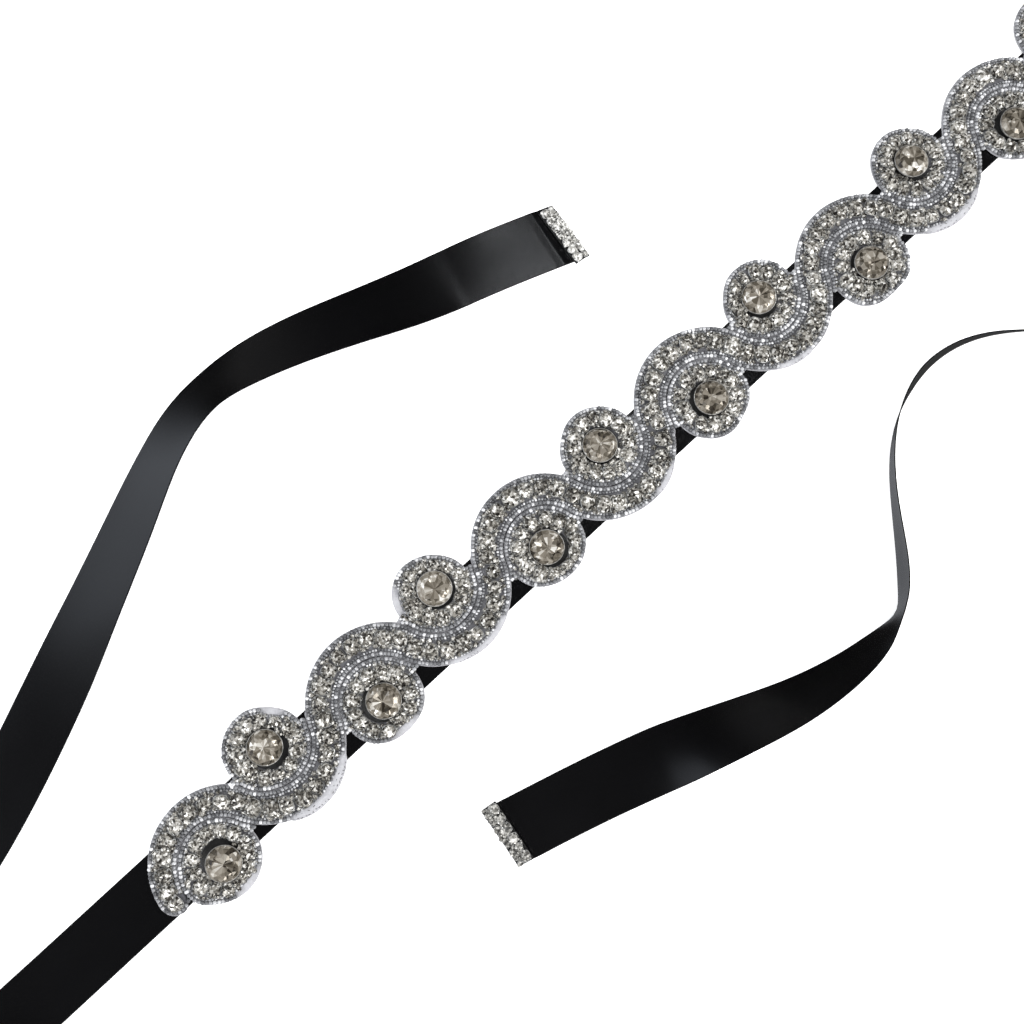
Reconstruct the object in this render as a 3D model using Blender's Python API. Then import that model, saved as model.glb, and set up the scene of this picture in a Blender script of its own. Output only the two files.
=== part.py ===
"""Bridal sash: satin ribbon with a beaded wave applique, lying on a flat surface.

+X runs along the ribbon under the applique, +Y across it, +Z up. The ribbon rests on z = 0.
Tables are in millimetres and degrees; meshes are in metres.
"""
import math

import bmesh
import bpy
import numpy as np

MM = 0.001

# Driving sizes, in millimetres
RIBBON_WIDTH = 25.0
RIBBON_WALL = 1.0
RIBBON_STEP = 9.0
SEAM = 0.3
LEFT_CUT = -14.0
RIGHT_CUT = -8.0
CUT_FADE = 40.0
FRONT_Y = -2.4
FRONT_START = -44.0
FRONT_END = 518.0
APPLIQUE_BASE = RIBBON_WALL + SEAM

VINE_HALF = 6.3
VINE_STEP = 3.15
VINE_END_ANGLE = 183.0

MEDALLION_RADIUS = 15.8
MEDALLION_STONES = 14
CENTRE_STONE_RADIUS = 7.1
CENTRE_STONE_SEAT = 2.9 + SEAM
CENTRE_STONE_SIDES = 12

TRIM_DEPTH = 6.4
TRIM_SPAN = 25.6
TRIM_BASE = RIBBON_WALL + SEAM

# The box of the whole part is centred on the origin by this shift.
SHIFT_X = -204.6
SHIFT_Y = -0.7

# Medallions in order along the applique. "lower" ones lie on the -Y side.
# name, side, along, across
MEDALLIONS = (
    ("lower_1", "lower", 1.0, -12.0),
    ("upper_1", "upper", 40.5, 9.9),
    ("lower_2", "lower", 85.2, -7.8),
    ("upper_2", "upper", 128.1, 10.9),
    ("lower_3", "lower", 171.2, -6.7),
    ("upper_3", "upper", 213.6, 8.3),
    ("lower_4", "lower", 259.3, -7.6),
    ("upper_4", "upper", 301.6, 9.0),
    ("lower_5", "lower", 345.2, -11.4),
    ("upper_5", "upper", 387.0, 8.0),
    ("lower_6", "lower", 430.8, -9.8),
    ("upper_6", "upper", 472.5, 9.2),
)

# Ribbon beyond the applique. The middle of the ribbon passes through each row. A positive tilt
# lifts the edge on the left of the way travelled, a negative one the edge on the right.
# place, x, y, tilt
LEFT_TAIL = (
    ("cut end", 265.5, 80.6, 0.0),
    ("flat", 214.0, 98.6, 1.0),
    ("inner edge rises", 206.0, 101.0, 5.0),
    ("rising", 178.5, 110.7, 19.0),
    ("into the turn", 135.0, 124.6, 32.0),
    ("top of the turn", 115.0, 126.7, 40.5),
    ("out of the turn", 104.0, 125.7, 40.0),
    ("sinking", 83.5, 119.3, 36.5),
    ("sinking", 60.5, 109.0, 27.5),
    ("sinking", 25.0, 93.0, 15.5),
    ("sinking", 2.0, 83.0, 5.5),
    ("flattest", -57.5, 58.6, 2.5),
)
LEFT_LOOP = (
    ("flattest", -57.5, 58.6, 2.5),
    ("dip", -120.0, 44.0, 14.0),
    ("rise", -182.0, 49.0, 48.0),
    ("standing", -240.0, 68.0, 78.0),
    ("bend", -292.0, 79.0, 88.0),
    ("bend", -332.0, 66.0, 90.0),
    ("bend", -347.0, 38.0, 90.0),
    ("bend", -331.0, 10.0, 88.0),
    ("run", -290.0, -4.0, 80.0),
    ("run", -230.0, -6.0, 58.0),
    ("run", -165.0, -3.4, 26.0),
    ("run", -105.0, -2.4, 5.0),
    ("flat", -72.0, -2.4, 0.0),
    ("meets the front", -44.0, -2.4, 0.0),
)
RIGHT_LOOP = (
    ("meets the front", 518.0, -2.4, 0.0),
    ("flat", 545.0, -2.4, 0.0),
    ("run", 580.0, -2.4, 5.0),
    ("run", 638.0, -0.6, 28.0),
    ("run", 694.0, -4.0, 62.0),
    ("bend", 736.0, -20.0, 84.0),
    ("bend", 756.0, -50.0, 90.0),
    ("bend", 746.0, -85.0, 90.0),
    ("bend", 708.0, -110.0, 90.0),
    ("standing", 644.0, -126.0, 88.0),
    ("standing", 572.0, -133.0, 84.0),
    ("standing", 500.0, -131.5, 78.0),
    ("standing", 434.0, -118.0, 73.0),
    ("standing", 389.0, -91.5, 73.0),
)
RIGHT_TAIL = (
    ("standing", 389.0, -91.5, 73.0),
    ("leaning in", 359.0, -66.0, 79.0),
    ("crest", 338.5, -57.0, 94.0),
    ("crest", 322.0, -56.5, 105.0),
    ("leaning out", 300.5, -65.5, 107.0),
    ("leaning out", 275.0, -93.0, 103.0),
    ("corner", 259.0, -112.0, 102.5),
    ("corner", 254.0, -115.7, 104.0),
    ("corner", 248.5, -117.0, 98.0),
    ("corner", 238.5, -118.3, 84.0),
    ("rolling over", 218.0, -117.2, 67.5),
    ("rolling over", 199.5, -113.2, 55.5),
    ("rolling over", 180.5, -107.0, 43.5),
    ("rolling over", 161.5, -100.4, 28.5),
    ("flattening", 148.5, -96.1, 14.0),
    ("flat", 122.0, -87.7, 2.0),
    ("flat", 102.0, -81.8, 0.0),
    ("cut end", 82.5, -76.2, 0.0),
)

# Half section of the wave band, from its middle out. "stone" rows rise and fall with each stone.
# across, height over the base at a stone, height between stones
VINE_SECTION = (
    (1.2, 4.1, 2.7),
    (2.6, 3.4, 2.2),
    (3.5, 1.2, 1.2),
    (4.5, 2.1, 2.1),
    (5.6, 2.3, 2.3),
    (6.3, 1.5, 1.5),
)

# Section of a medallion, from its rim to its middle.
# radius, height over the base at a stone, height between stones
MEDALLION_SECTION = (
    (15.8, 1.4, 1.4),
    (15.1, 2.2, 2.2),
    (13.9, 2.1, 2.1),
    (13.2, 1.3, 1.3),
    (12.4, 3.2, 2.2),
    (10.9, 3.9, 2.6),
    (9.2, 3.2, 2.2),
    (8.3, 1.6, 1.6),
)

# Section of a centre stone from its seat up.
# radius, height over the seat
CENTRE_STONE_SECTION = (
    (6.6, 0.0),
    (7.1, 1.3),
    (5.9, 3.2),
    (3.6, 4.5),
)

# Sections of an end trim along the ribbon, from its inner side to the cut end.
# along, height of the beads, height of the underside over the trim's base
TRIM_SECTIONS = (
    (0.0, 1.0, 0.0),
    (0.5, 1.6, 0.0),
    (1.1, 2.1, 0.0),
    (2.1, 1.3, 0.0),
    (3.1, 2.1, 0.0),
    (4.1, 1.3, 0.0),
    (5.1, 2.1, 0.0),
    (5.9, 1.6, 0.0),
    (6.4, 1.0, 0.0),
)
TRIM_STONES = 8


def clear_scene():
    for old in list(bpy.data.objects):
        bpy.data.objects.remove(old, do_unlink=True)
    for old in list(bpy.data.meshes):
        bpy.data.meshes.remove(old)


def material(name, colour, roughness, metallic=0.0):
    """A Principled material for one sub-part."""
    mat = bpy.data.materials.new(name)
    mat.use_nodes = True
    shader = mat.node_tree.nodes.get("Principled BSDF")
    shader.inputs["Base Color"].default_value = (*colour, 1.0)
    shader.inputs["Roughness"].default_value = roughness
    shader.inputs["Metallic"].default_value = metallic
    mat.diffuse_color = (*colour, 1.0)
    return mat


def add_solid(name, points, faces, colour, roughness, metallic=0.0, smooth=False):
    """One closed body from points in millimetres and faces."""
    mesh = bpy.data.meshes.new(name)
    moved = [((p[0] + SHIFT_X) * MM, (p[1] + SHIFT_Y) * MM, p[2] * MM) for p in points]
    mesh.from_pydata(moved, [], faces)
    body = bmesh.new()
    body.from_mesh(mesh)
    bmesh.ops.recalc_face_normals(body, faces=body.faces)
    bmesh.ops.triangulate(body, faces=body.faces)
    body.to_mesh(mesh)
    body.free()
    for face in mesh.polygons:
        face.use_smooth = smooth
    mesh.materials.append(material(name + "_look", colour, roughness, metallic))
    solid = bpy.data.objects.new(name, mesh)
    bpy.context.scene.collection.objects.link(solid)
    return solid


def spline(knots, values, at):
    """Natural cubic spline through values at knots, read at the given places."""
    knots = np.asarray(knots, dtype=float)
    values = np.asarray(values, dtype=float)
    count = len(knots)
    step = np.diff(knots)
    slope = np.diff(values) / step
    system = np.eye(count)
    right = np.zeros(count)
    for i in range(1, count - 1):
        system[i, i - 1] = step[i - 1]
        system[i, i] = 2.0 * (step[i - 1] + step[i])
        system[i, i + 1] = step[i]
        right[i] = 6.0 * (slope[i] - slope[i - 1])
    bend = np.linalg.solve(system, right)
    at = np.asarray(at, dtype=float)
    i = np.clip(np.searchsorted(knots, at, side="right") - 1, 0, count - 2)
    u = at - knots[i]
    h = step[i]
    first = slope[i] - h * (2.0 * bend[i] + bend[i + 1]) / 6.0
    return values[i] + u * first + u * u * bend[i] / 2.0 + u ** 3 * (bend[i + 1] - bend[i]) / (6.0 * h)


def path_of(rows):
    """Dense points (x, y, tilt) along a table of ribbon rows, with the length run to each."""
    xy = np.array([[row[1], row[2]] for row in rows])
    chord = np.concatenate([[0.0], np.cumsum(np.hypot(*np.diff(xy, axis=0).T))])
    fine = np.linspace(0.0, chord[-1], 1200)
    x = spline(chord, xy[:, 0], fine)
    y = spline(chord, xy[:, 1], fine)
    tilt = np.interp(fine, chord, [row[3] for row in rows])
    smooth = spline(chord, [row[3] for row in rows], fine)
    tilt = 0.35 * tilt + 0.65 * smooth
    run = np.concatenate([[0.0], np.cumsum(np.hypot(np.diff(x), np.diff(y)))])
    return x, y, tilt, run


def whole_path(tables):
    """One smooth path through tables that share their end rows, and the length at each join."""
    rows = list(tables[0])
    joins = []
    for table in tables[1:]:
        joins.append(len(rows) - 1)
        rows += list(table[1:])
    x, y, tilt, run = path_of(rows)
    lengths = []
    for j in joins:
        nearest = np.argmin((x - rows[j][1]) ** 2 + (y - rows[j][2]) ** 2)
        lengths.append(run[nearest])
    return (x, y, tilt, run), lengths


def ribbon_points(path, start, end, step=RIBBON_STEP, cut=0.0, cut_at=None):
    """Section loops of the ribbon between two lengths of a path, with a slanted cut at one."""
    x, y, tilt, run = path
    count = max(2, int(round((end - start) / step)) + 1)
    at = np.linspace(start, end, count)
    px = np.interp(at, run, x)
    py = np.interp(at, run, y)
    lean = np.radians(np.interp(at, run, tilt))
    ahead = np.clip(at + 1.0, run[0], run[-1])
    behind = np.clip(at - 1.0, run[0], run[-1])
    dx = np.interp(ahead, run, x) - np.interp(behind, run, x)
    dy = np.interp(ahead, run, y) - np.interp(behind, run, y)
    size = np.hypot(dx, dy)
    left = np.stack([-dy / size, dx / size, np.zeros(count)], axis=1)
    half_w = RIBBON_WIDTH / 2.0
    half_t = RIBBON_WALL / 2.0
    loops = []
    for i in range(count):
        across = left[i] * math.cos(lean[i]) + np.array([0.0, 0.0, math.sin(lean[i])])
        normal = np.array([0.0, 0.0, math.cos(lean[i])]) - left[i] * math.sin(lean[i])
        height = half_w * abs(math.sin(lean[i])) + half_t * abs(math.cos(lean[i]))
        middle = np.array([px[i], py[i], height])
        slant = 0.0
        if cut_at is not None:
            slant = math.tan(math.radians(cut)) * max(0.0, 1.0 - abs(at[i] - cut_at) / CUT_FADE)
        forward = np.array([left[i][1], -left[i][0], 0.0]) * slant
        loop = []
        for s, t in ((-1, -1), (0, -1), (1, -1), (1, 1), (0, 1), (-1, 1)):
            loop.append(middle + (across + forward) * half_w * s + normal * half_t * t)
        loops.append(loop)
    return loops


def loft(loops):
    """Points and faces of a closed body through section loops of equal length."""
    points = [p for loop in loops for p in loop]
    n = len(loops[0])
    faces = [tuple(range(n))]
    for k in range(len(loops) - 1):
        for i in range(n):
            a = k * n + i
            b = k * n + (i + 1) % n
            faces.append((a, b, b + n, a + n))
    last = (len(loops) - 1) * n
    faces.append(tuple(last + n - 1 - i for i in range(n)))
    return points, faces


def lathe(rings, centre, base):
    """Points and faces of a body through rings of points round a centre, closed at both ends."""
    n = len(rings[0])
    points = [(centre[0] + p[0], centre[1] + p[1], base + p[2]) for ring in rings for p in ring]
    faces = []
    for k in range(len(rings) - 1):
        for i in range(n):
            a = k * n + i
            b = k * n + (i + 1) % n
            faces.append((a, b, b + n, a + n))
    low = len(points)
    points.append((centre[0], centre[1], base + rings[0][0][2]))
    high = len(points)
    points.append((centre[0], centre[1], base + rings[-1][0][2]))
    top = (len(rings) - 1) * n
    for i in range(n):
        j = (i + 1) % n
        faces.append((low, j, i))
        faces.append((high, top + i, top + j))
    return points, faces


def smoothstep(t):
    return t * t * (3.0 - 2.0 * t)


def vine_path():
    """Dense points of the wave band: over each lower medallion and under each upper one."""
    out = []
    last = len(MEDALLIONS) - 1
    for k, (_, side, cx, cy) in enumerate(MEDALLIONS):
        before = MEDALLIONS[k - 1] if k > 0 else None
        after = MEDALLIONS[k + 1] if k < last else None
        turn = -1.0 if side == "lower" else 1.0
        r_in = math.hypot(before[2] - cx, before[3] - cy) / 2.0 if before else None
        r_out = math.hypot(after[2] - cx, after[3] - cy) / 2.0 if after else None
        a_in = math.degrees(math.atan2(before[3] - cy, before[2] - cx)) if before else VINE_END_ANGLE
        a_out = math.degrees(math.atan2(after[3] - cy, after[2] - cx)) if after else VINE_END_ANGLE + 180.0
        r_in = r_in if r_in is not None else r_out
        r_out = r_out if r_out is not None else r_in
        sweep = ((a_out - a_in) * turn) % 360.0
        for t in np.linspace(0.0, 1.0, 60)[(1 if out else 0):]:
            angle = math.radians(a_in + turn * sweep * t)
            r = r_in + (r_out - r_in) * smoothstep(t)
            out.append((cx + r * math.cos(angle), cy + r * math.sin(angle)))
    xy = np.array(out)
    run = np.concatenate([[0.0], np.cumsum(np.hypot(*np.diff(xy, axis=0).T))])
    return xy, run


def build_vine():
    xy, run = vine_path()
    count = int(round(run[-1] / VINE_STEP / 2.0)) * 2 + 1
    at = np.linspace(0.0, run[-1], count)
    px = np.interp(at, run, xy[:, 0])
    py = np.interp(at, run, xy[:, 1])
    ahead = np.clip(at + 0.8, 0.0, run[-1])
    behind = np.clip(at - 0.8, 0.0, run[-1])
    dx = np.interp(ahead, run, xy[:, 0]) - np.interp(behind, run, xy[:, 0])
    dy = np.interp(ahead, run, xy[:, 1]) - np.interp(behind, run, xy[:, 1])
    size = np.hypot(dx, dy)
    loops = []
    for i in range(count):
        nx, ny = -dy[i] / size[i], dx[i] / size[i]
        from_end = min(i, count - 1 - i)
        narrow = (0.62, 0.93)[from_end] if from_end < 2 else 1.0
        at_stone = i % 2 == 1
        rows = [(s, at if at_stone else between) for s, at, between in VINE_SECTION]
        profile = [(-VINE_HALF, 0.0), (VINE_HALF, 0.0)]
        profile += [(s, h) for s, h in reversed(rows)]
        profile += [(-s, h) for s, h in rows]
        loop = []
        for s, h in profile:
            s = s * narrow
            loop.append((px[i] + nx * s, py[i] + ny * s, APPLIQUE_BASE + h))
        loops.append(loop)
    points, faces = loft(loops)
    add_solid("vine", points, faces, (0.42, 0.41, 0.40), 0.35, 0.25)


def build_medallion(name, cx, cy, start_angle):
    """Fabric disc with its bead rim and its ring of stones."""
    sides = MEDALLION_STONES * 2
    rings = []
    bottom = [(MEDALLION_SECTION[0][0], 0.0, 0.0)] + list(MEDALLION_SECTION)
    for radius, at_stone, between in bottom:
        ring = []
        for i in range(sides):
            angle = start_angle + 2.0 * math.pi * i / sides
            height = at_stone if i % 2 == 0 else between
            ring.append((radius * math.cos(angle), radius * math.sin(angle), height))
        rings.append(ring)
    points, faces = lathe(rings, (cx, cy), APPLIQUE_BASE)
    add_solid("medallion_" + name, points, faces, (0.45, 0.44, 0.43), 0.35, 0.25)


def build_centre_stone(name, cx, cy, start_angle):
    rings = []
    for radius, height in CENTRE_STONE_SECTION:
        ring = []
        for i in range(CENTRE_STONE_SIDES):
            angle = start_angle + 2.0 * math.pi * i / CENTRE_STONE_SIDES
            ring.append((radius * math.cos(angle), radius * math.sin(angle), height))
        rings.append(ring)
    points, faces = lathe(rings, (cx, cy), CENTRE_STONE_SEAT)
    add_solid("stone_" + name, points, faces, (0.50, 0.46, 0.42), 0.08, 0.0)


def build_trim(name, end, heading, cut):
    """Beaded bar along a slanted ribbon end, lying on the ribbon. The heading points off it."""
    heading = heading + math.radians(cut)
    ux, uy = math.cos(heading), math.sin(heading)
    vx, vy = -uy, ux
    columns = TRIM_STONES * 2
    loops = []
    for along, high, under in TRIM_SECTIONS:
        u = along - TRIM_DEPTH
        loop = []
        loop.append((TRIM_SPAN / 2.0, under))
        loop.append((-TRIM_SPAN / 2.0, under))
        for i in range(columns + 1):
            s = -TRIM_SPAN / 2.0 + TRIM_SPAN * i / columns
            edge = i == 0 or i == columns
            top = 1.0 if edge else (high if i % 2 == 1 else min(high, 1.4))
            loop.append((s, top))
        loops.append([(end[0] + ux * u + vx * s, end[1] + uy * u + vy * s, TRIM_BASE + h) for s, h in loop])
    points, faces = loft(loops)
    add_solid("trim_" + name, points, faces, (0.55, 0.54, 0.53), 0.30, 0.35)


def build_ribbon():
    black = (0.012, 0.012, 0.013)
    left, left_join = whole_path((LEFT_TAIL, LEFT_LOOP))
    right, right_join = whole_path((RIGHT_LOOP, RIGHT_TAIL))
    half = SEAM / 2.0
    pieces = (
        ("ribbon_left_tail", left, 0.0, left_join[0] - half, LEFT_CUT, 0.0),
        ("ribbon_left_loop", left, left_join[0] + half, left[3][-1] - half, 0.0, None),
        ("ribbon_right_loop", right, half, right_join[0] - half, 0.0, None),
        ("ribbon_right_tail", right, right_join[0] + half, right[3][-1], RIGHT_CUT, right[3][-1]),
    )
    for name, path, start, end, cut, cut_at in pieces:
        points, faces = loft(ribbon_points(path, start, end, cut=cut, cut_at=cut_at))
        add_solid(name, points, faces, black, 0.35, smooth=False)
    front = (
        np.array([FRONT_START, FRONT_END]),
        np.array([FRONT_Y, FRONT_Y]),
        np.array([0.0, 0.0]),
        np.array([0.0, FRONT_END - FRONT_START]),
    )
    points, faces = loft(ribbon_points(front, half, front[3][-1] - half, step=40.0))
    add_solid("ribbon_front", points, faces, black, 0.35)
    return left, right


def main():
    clear_scene()
    left, right = build_ribbon()
    build_vine()
    for k, (name, _, cx, cy) in enumerate(MEDALLIONS):
        build_medallion(name, cx, cy, 0.21 * k)
        build_centre_stone(name, cx, cy, 0.37 * k)
    left_heading = math.atan2(left[1][0] - left[1][5], left[0][0] - left[0][5])
    build_trim("left", (left[0][0], left[1][0]), left_heading, -LEFT_CUT)
    right_heading = math.atan2(right[1][-1] - right[1][-6], right[0][-1] - right[0][-6])
    build_trim("right", (right[0][-1], right[1][-1]), right_heading, -RIGHT_CUT)


main()
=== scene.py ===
"""Bridal sash, the looks: satin ribbon, beaded wave applique and beaded end trims.

Tables and sizes are in millimetres and degrees, and meshes are in metres, in the part's frame.
"""
import math

import bpy
import numpy as np
from mathutils import Matrix, Vector


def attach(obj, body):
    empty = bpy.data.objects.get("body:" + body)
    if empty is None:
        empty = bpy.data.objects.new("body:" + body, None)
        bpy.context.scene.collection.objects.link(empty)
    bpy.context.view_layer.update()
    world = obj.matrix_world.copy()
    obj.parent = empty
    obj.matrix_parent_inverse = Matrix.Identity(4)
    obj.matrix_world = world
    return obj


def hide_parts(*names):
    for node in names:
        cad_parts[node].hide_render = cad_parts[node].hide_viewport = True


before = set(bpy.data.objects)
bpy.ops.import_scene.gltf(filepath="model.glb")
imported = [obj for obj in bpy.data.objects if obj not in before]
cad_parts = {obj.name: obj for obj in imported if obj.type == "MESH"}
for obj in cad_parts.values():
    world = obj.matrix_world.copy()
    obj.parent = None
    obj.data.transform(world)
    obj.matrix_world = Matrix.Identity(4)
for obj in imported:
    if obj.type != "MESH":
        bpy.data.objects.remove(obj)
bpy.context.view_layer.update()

MM = 0.001
SHIFT = np.array([-204.6, -0.7, 0.0])

# The camera, fitted to the stones and to the ribbon's edges
CAMERA_PLACE = (-71.585, -14.245, 429.892)
CAMERA_RIGHT = (0.73496, -0.67771, 0.02323)
CAMERA_UP = (0.67247, 0.73283, 0.10362)
CAMERA_LENS = 38.67

RIBBON_WIDTH = 25.0
RIBBON_STEP = 2.2
RIBBON_ACROSS = 15
SHELL = 0.42
RIPPLE_CALM = 30.0
LEFT_CUT = -14.0
RIGHT_CUT = -8.0
CUT_FADE = 40.0

CLOTH_BASE = 1.05
BEAD_SIZE = 1.6
BEAD_PITCH = 1.52
VINE_STONE = 3.5
VINE_BEADS_AT = 5.5
RING_STONE = 2.75
FILL_STONE = 1.05
TINY_BEAD = 1.15
VINE_START_ANGLE = 188.5
VINE_END_ANGLE = 183.0
VINE_EDGE = 6.45
VINE_CAP = 6.6
VINE_SAMPLES = 2400
STONE_PITCH = 3.15
# From here out the band's cloth droops, by this much a millimetre
DROOP_FROM, DROOP = 6.8, 0.16
# Radius of the round gap in a medallion's cloth, in which the centre stone stands
WELL = 7.25
TRIM_WIDTH, TRIM_DEPTH = 25.4, 6.6
FULL_TURN = 6.28

# name, side, along, across, ring shift, towards, bare arc at, half width, ring stones, start
MEDALLIONS = (
    ("lower_1", "lower", 1, -12, 1.3, 92, -83, 38, 13, 10),
    ("upper_1", "upper", 40.5, 9.9, 1.1, -83, 38, 26, 13, 25),
    ("lower_2", "lower", 85.2, -7.8, 1, 172, -93, 32, 13, 3),
    ("upper_2", "upper", 128.1, 10.9, 0.6, -73, 158, 30, 13, 14),
    ("lower_3", "lower", 171.2, -6.7, 0.9, -63, 0, 0, 13, 21),
    ("upper_3", "upper", 213.6, 8.3, 0.5, 20, 0, 0, 14, 8),
    ("lower_4", "lower", 259.3, -7.6, 0.7, 150, 0, 0, 13, 17),
    ("upper_4", "upper", 301.6, 9, 0.6, -100, 0, 0, 14, 2),
    ("lower_5", "lower", 345.2, -11.4, 0.5, 80, 0, 0, 13, 12),
    ("upper_5", "upper", 387, 8, 0.7, -60, 0, 0, 14, 23),
    ("lower_6", "lower", 430.8, -9.8, 0.6, 120, -80, 25, 13, 6),
    ("upper_6", "upper", 472.5, 9.2, 0.8, -90, 60, 25, 13, 19),
)

# Where the ribbon's middle runs. A positive tilt lifts the edge on the left of the way travelled.
# x, y, tilt
LEFT_ROWS = (
    (265.5, 80.6, 0), (214, 98.6, 1), (206, 101, 5), (178.5, 110.7, 19),
    (135, 124.6, 32), (115, 126.7, 40.5), (104, 125.7, 40), (83.5, 119.3, 36.5),
    (60.5, 109, 27.5), (25, 93, 15.5), (2, 83, 5.5), (-57.5, 58.6, 2.5),
    (-120, 44, 14), (-182, 49, 48), (-240, 68, 78), (-292, 79, 88),
    (-332, 66, 90), (-347, 38, 90), (-331, 10, 88), (-290, -4, 80),
    (-230, -6, 58), (-165, -3.4, 26), (-105, -2.4, 5), (-72, -2.4, 0),
    (-44, -2.4, 0),
)
RIGHT_ROWS = (
    (518, -2.4, 0), (545, -2.4, 0), (580, -2.4, 5), (638, -0.6, 28),
    (694, -4, 62), (736, -20, 84), (756, -50, 90), (746, -85, 90),
    (708, -110, 90), (644, -126, 88), (572, -133, 84), (500, -131.5, 78),
    (434, -118, 73), (389, -91.5, 73), (359, -66, 79), (338.5, -57, 94),
    (322, -56.5, 105), (300.5, -65.5, 107), (275, -93, 103), (259, -112, 102.5),
    (254, -115.7, 104), (248.5, -117, 98), (238.5, -118.3, 84), (218, -117.2, 67.5),
    (199.5, -113.2, 55.5), (180.5, -107, 43.5), (161.5, -100.4, 28.5), (148.5, -96.1, 14),
    (122, -87.7, 2), (102, -81.8, 0), (82.5, -76.2, 0),
)

# How far the cloth of each medallion reaches from the middle of its stone, where it shows against
# the floor: direction, radius
OUTLINES = {
    "lower_1": ((165, 17.8), (176, 18.8), (186, 20.2), (196, 17.6), (225, 14.8),
                 (270, 13.5), (300, 13.6), (345, 14.8), (90, 17.8)),
    "upper_1": ((15, 16.0), (45, 14.4), (75, 15.8), (105, 16.2), (150, 17.3), (195, 17.3), (285, 15.6)),
    "lower_2": ((195, 17.4), (225, 16.6), (255, 14.8), (285, 14.6), (315, 15.5), (345, 16.0), (90, 16.4)),
    "upper_2": ((30, 13.3), (60, 13.3), (90, 14.4), (120, 15.9), (150, 17.2), (180, 17.4), (270, 17.0)),
    "lower_3": ((195, 17.0), (225, 15.6), (255, 14.3), (285, 14.6), (315, 15.4), (345, 16.4), (90, 16.6)),
    "upper_3": ((15, 16.8), (45, 16.2), (75, 16.2), (105, 15.8), (135, 15.4), (165, 16.4), (270, 15.7)),
    "lower_4": ((210, 16.2), (240, 16.0), (262, 15.9), (285, 14.4), (305, 15.0), (330, 16.8), (90, 16.2)),
    "upper_4": ((15, 17.2), (45, 16.6), (75, 15.4), (105, 14.7), (130, 13.8), (160, 14.8), (270, 16.8)),
    "lower_5": ((195, 17.4), (225, 17.4), (255, 15.2), (270, 14.1), (300, 16.2), (330, 17.2), (90, 16.2)),
    "upper_5": ((15, 15.8), (45, 14.8), (75, 15.5), (105, 15.8), (135, 15.8), (165, 16.2), (270, 16.4)),
    "lower_6": ((195, 15.4), (225, 14.0), (255, 14.6), (285, 15.4), (330, 16.2), (90, 16.4)),
    "upper_6": ((15, 16.0), (60, 15.4), (105, 15.6), (150, 16.2), (270, 16.2)),
}

# Half section of the wave band's cloth, from its middle out: across, height over its base, lightness. The
# lightness is painted shade: dark under and between the stones and beads, lighter out at the edge
VINE_CLOTH = (
    (0.0, 0.85, 0.16),
    (3.2, 0.80, 0.05),
    (4.0, 0.50, 0.12),
    (4.7, 0.52, 0.40),
    (5.5, 0.72, 0.50),
    (6.1, 0.66, 0.62),
)

# Bare edges of the wave band without beads: medallion it goes round, from, to (0 to 1 of the way),
# how much wider the cloth is there
VINE_MARGINS = (
    (1, 0.30, 0.80, 1.9),
    (3, 0.25, 0.70, 0.5),
    (5, 0.55, 0.75, 0.4),
    (7, 0.30, 0.55, 0.5),
    (9, 0.25, 0.70, 1.3),
    (11, 0.20, 0.60, 1.2),
)


# Meshes

def link(name, verts, faces, materials, slots=None, tones=None, smooth=None, uv=None):
    """An object in metres from points in millimetres. faces is a list of equal-sided index arrays."""
    mesh = bpy.data.meshes.new(name)
    verts = (np.asarray(verts, dtype=float) + SHIFT) * MM
    total = sum(len(f) for f in faces)
    loops = np.concatenate([np.asarray(f).ravel() for f in faces])
    sides = np.concatenate([np.full(len(f), np.asarray(f).shape[1]) for f in faces])
    mesh.vertices.add(len(verts))
    mesh.vertices.foreach_set("co", verts.ravel())
    mesh.loops.add(len(loops))
    mesh.loops.foreach_set("vertex_index", loops.astype(np.int32))
    mesh.polygons.add(total)
    starts = np.concatenate([[0], np.cumsum(sides)[:-1]])
    mesh.polygons.foreach_set("loop_start", starts.astype(np.int32))
    mesh.polygons.foreach_set("loop_total", sides.astype(np.int32))
    if slots is not None:
        mesh.polygons.foreach_set("material_index", np.asarray(slots, dtype=np.int32))
    flags = np.ones(total, dtype=bool) if smooth is None else np.asarray(smooth, dtype=bool)
    mesh.polygons.foreach_set("use_smooth", flags)
    mesh.update(calc_edges=True)
    if tones is not None:
        layer = mesh.attributes.new("tone", "FLOAT", "FACE")
        layer.data.foreach_set("value", np.asarray(tones, dtype=np.float32))
    if uv is not None:
        layer = mesh.uv_layers.new(name="UVMap")
        layer.data.foreach_set("uv", np.asarray(uv, dtype=np.float32)[loops].ravel())
    mesh.validate()
    for material in materials:
        mesh.materials.append(material)
    thing = bpy.data.objects.new(name, mesh)
    bpy.context.scene.collection.objects.link(thing)
    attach(thing, "root")
    return thing


def corners(n, radius, height, turn=0.0):
    """Corners of a level regular polygon round Z."""
    angles = [2.0 * math.pi * (i + turn) / n for i in range(n)]
    return [(radius * math.cos(a), radius * math.sin(a), height) for a in angles]


def rings_form(profile, sides, slot=0, flat=(), cap_high=True):
    """A turned form about Z from rows of radius and height. flat: rows with a hard-edged band above."""
    verts, faces, smooth = [], [], []
    for k, (radius, height) in enumerate(profile):
        verts += corners(sides, radius, height)
        if k + 1 < len(profile):
            for i in range(sides):
                a, b = k * sides + i, k * sides + (i + 1) % sides
                faces += [(a, b, b + sides), (a, b + sides, a + sides)]
                smooth += [k not in flat] * 2
    verts.append((0.0, 0.0, profile[0][1]))
    faces += [(len(verts) - 1, (i + 1) % sides, i) for i in range(sides)]
    smooth += [False] * sides
    if cap_high:
        verts.append((0.0, 0.0, profile[-1][1]))
        top = (len(profile) - 1) * sides
        faces += [(len(verts) - 1, top + i, top + (i + 1) % sides) for i in range(sides)]
        smooth += [True] * sides
    return np.array(verts), np.array(faces), np.full(len(faces), slot), np.array(smooth)


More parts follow.
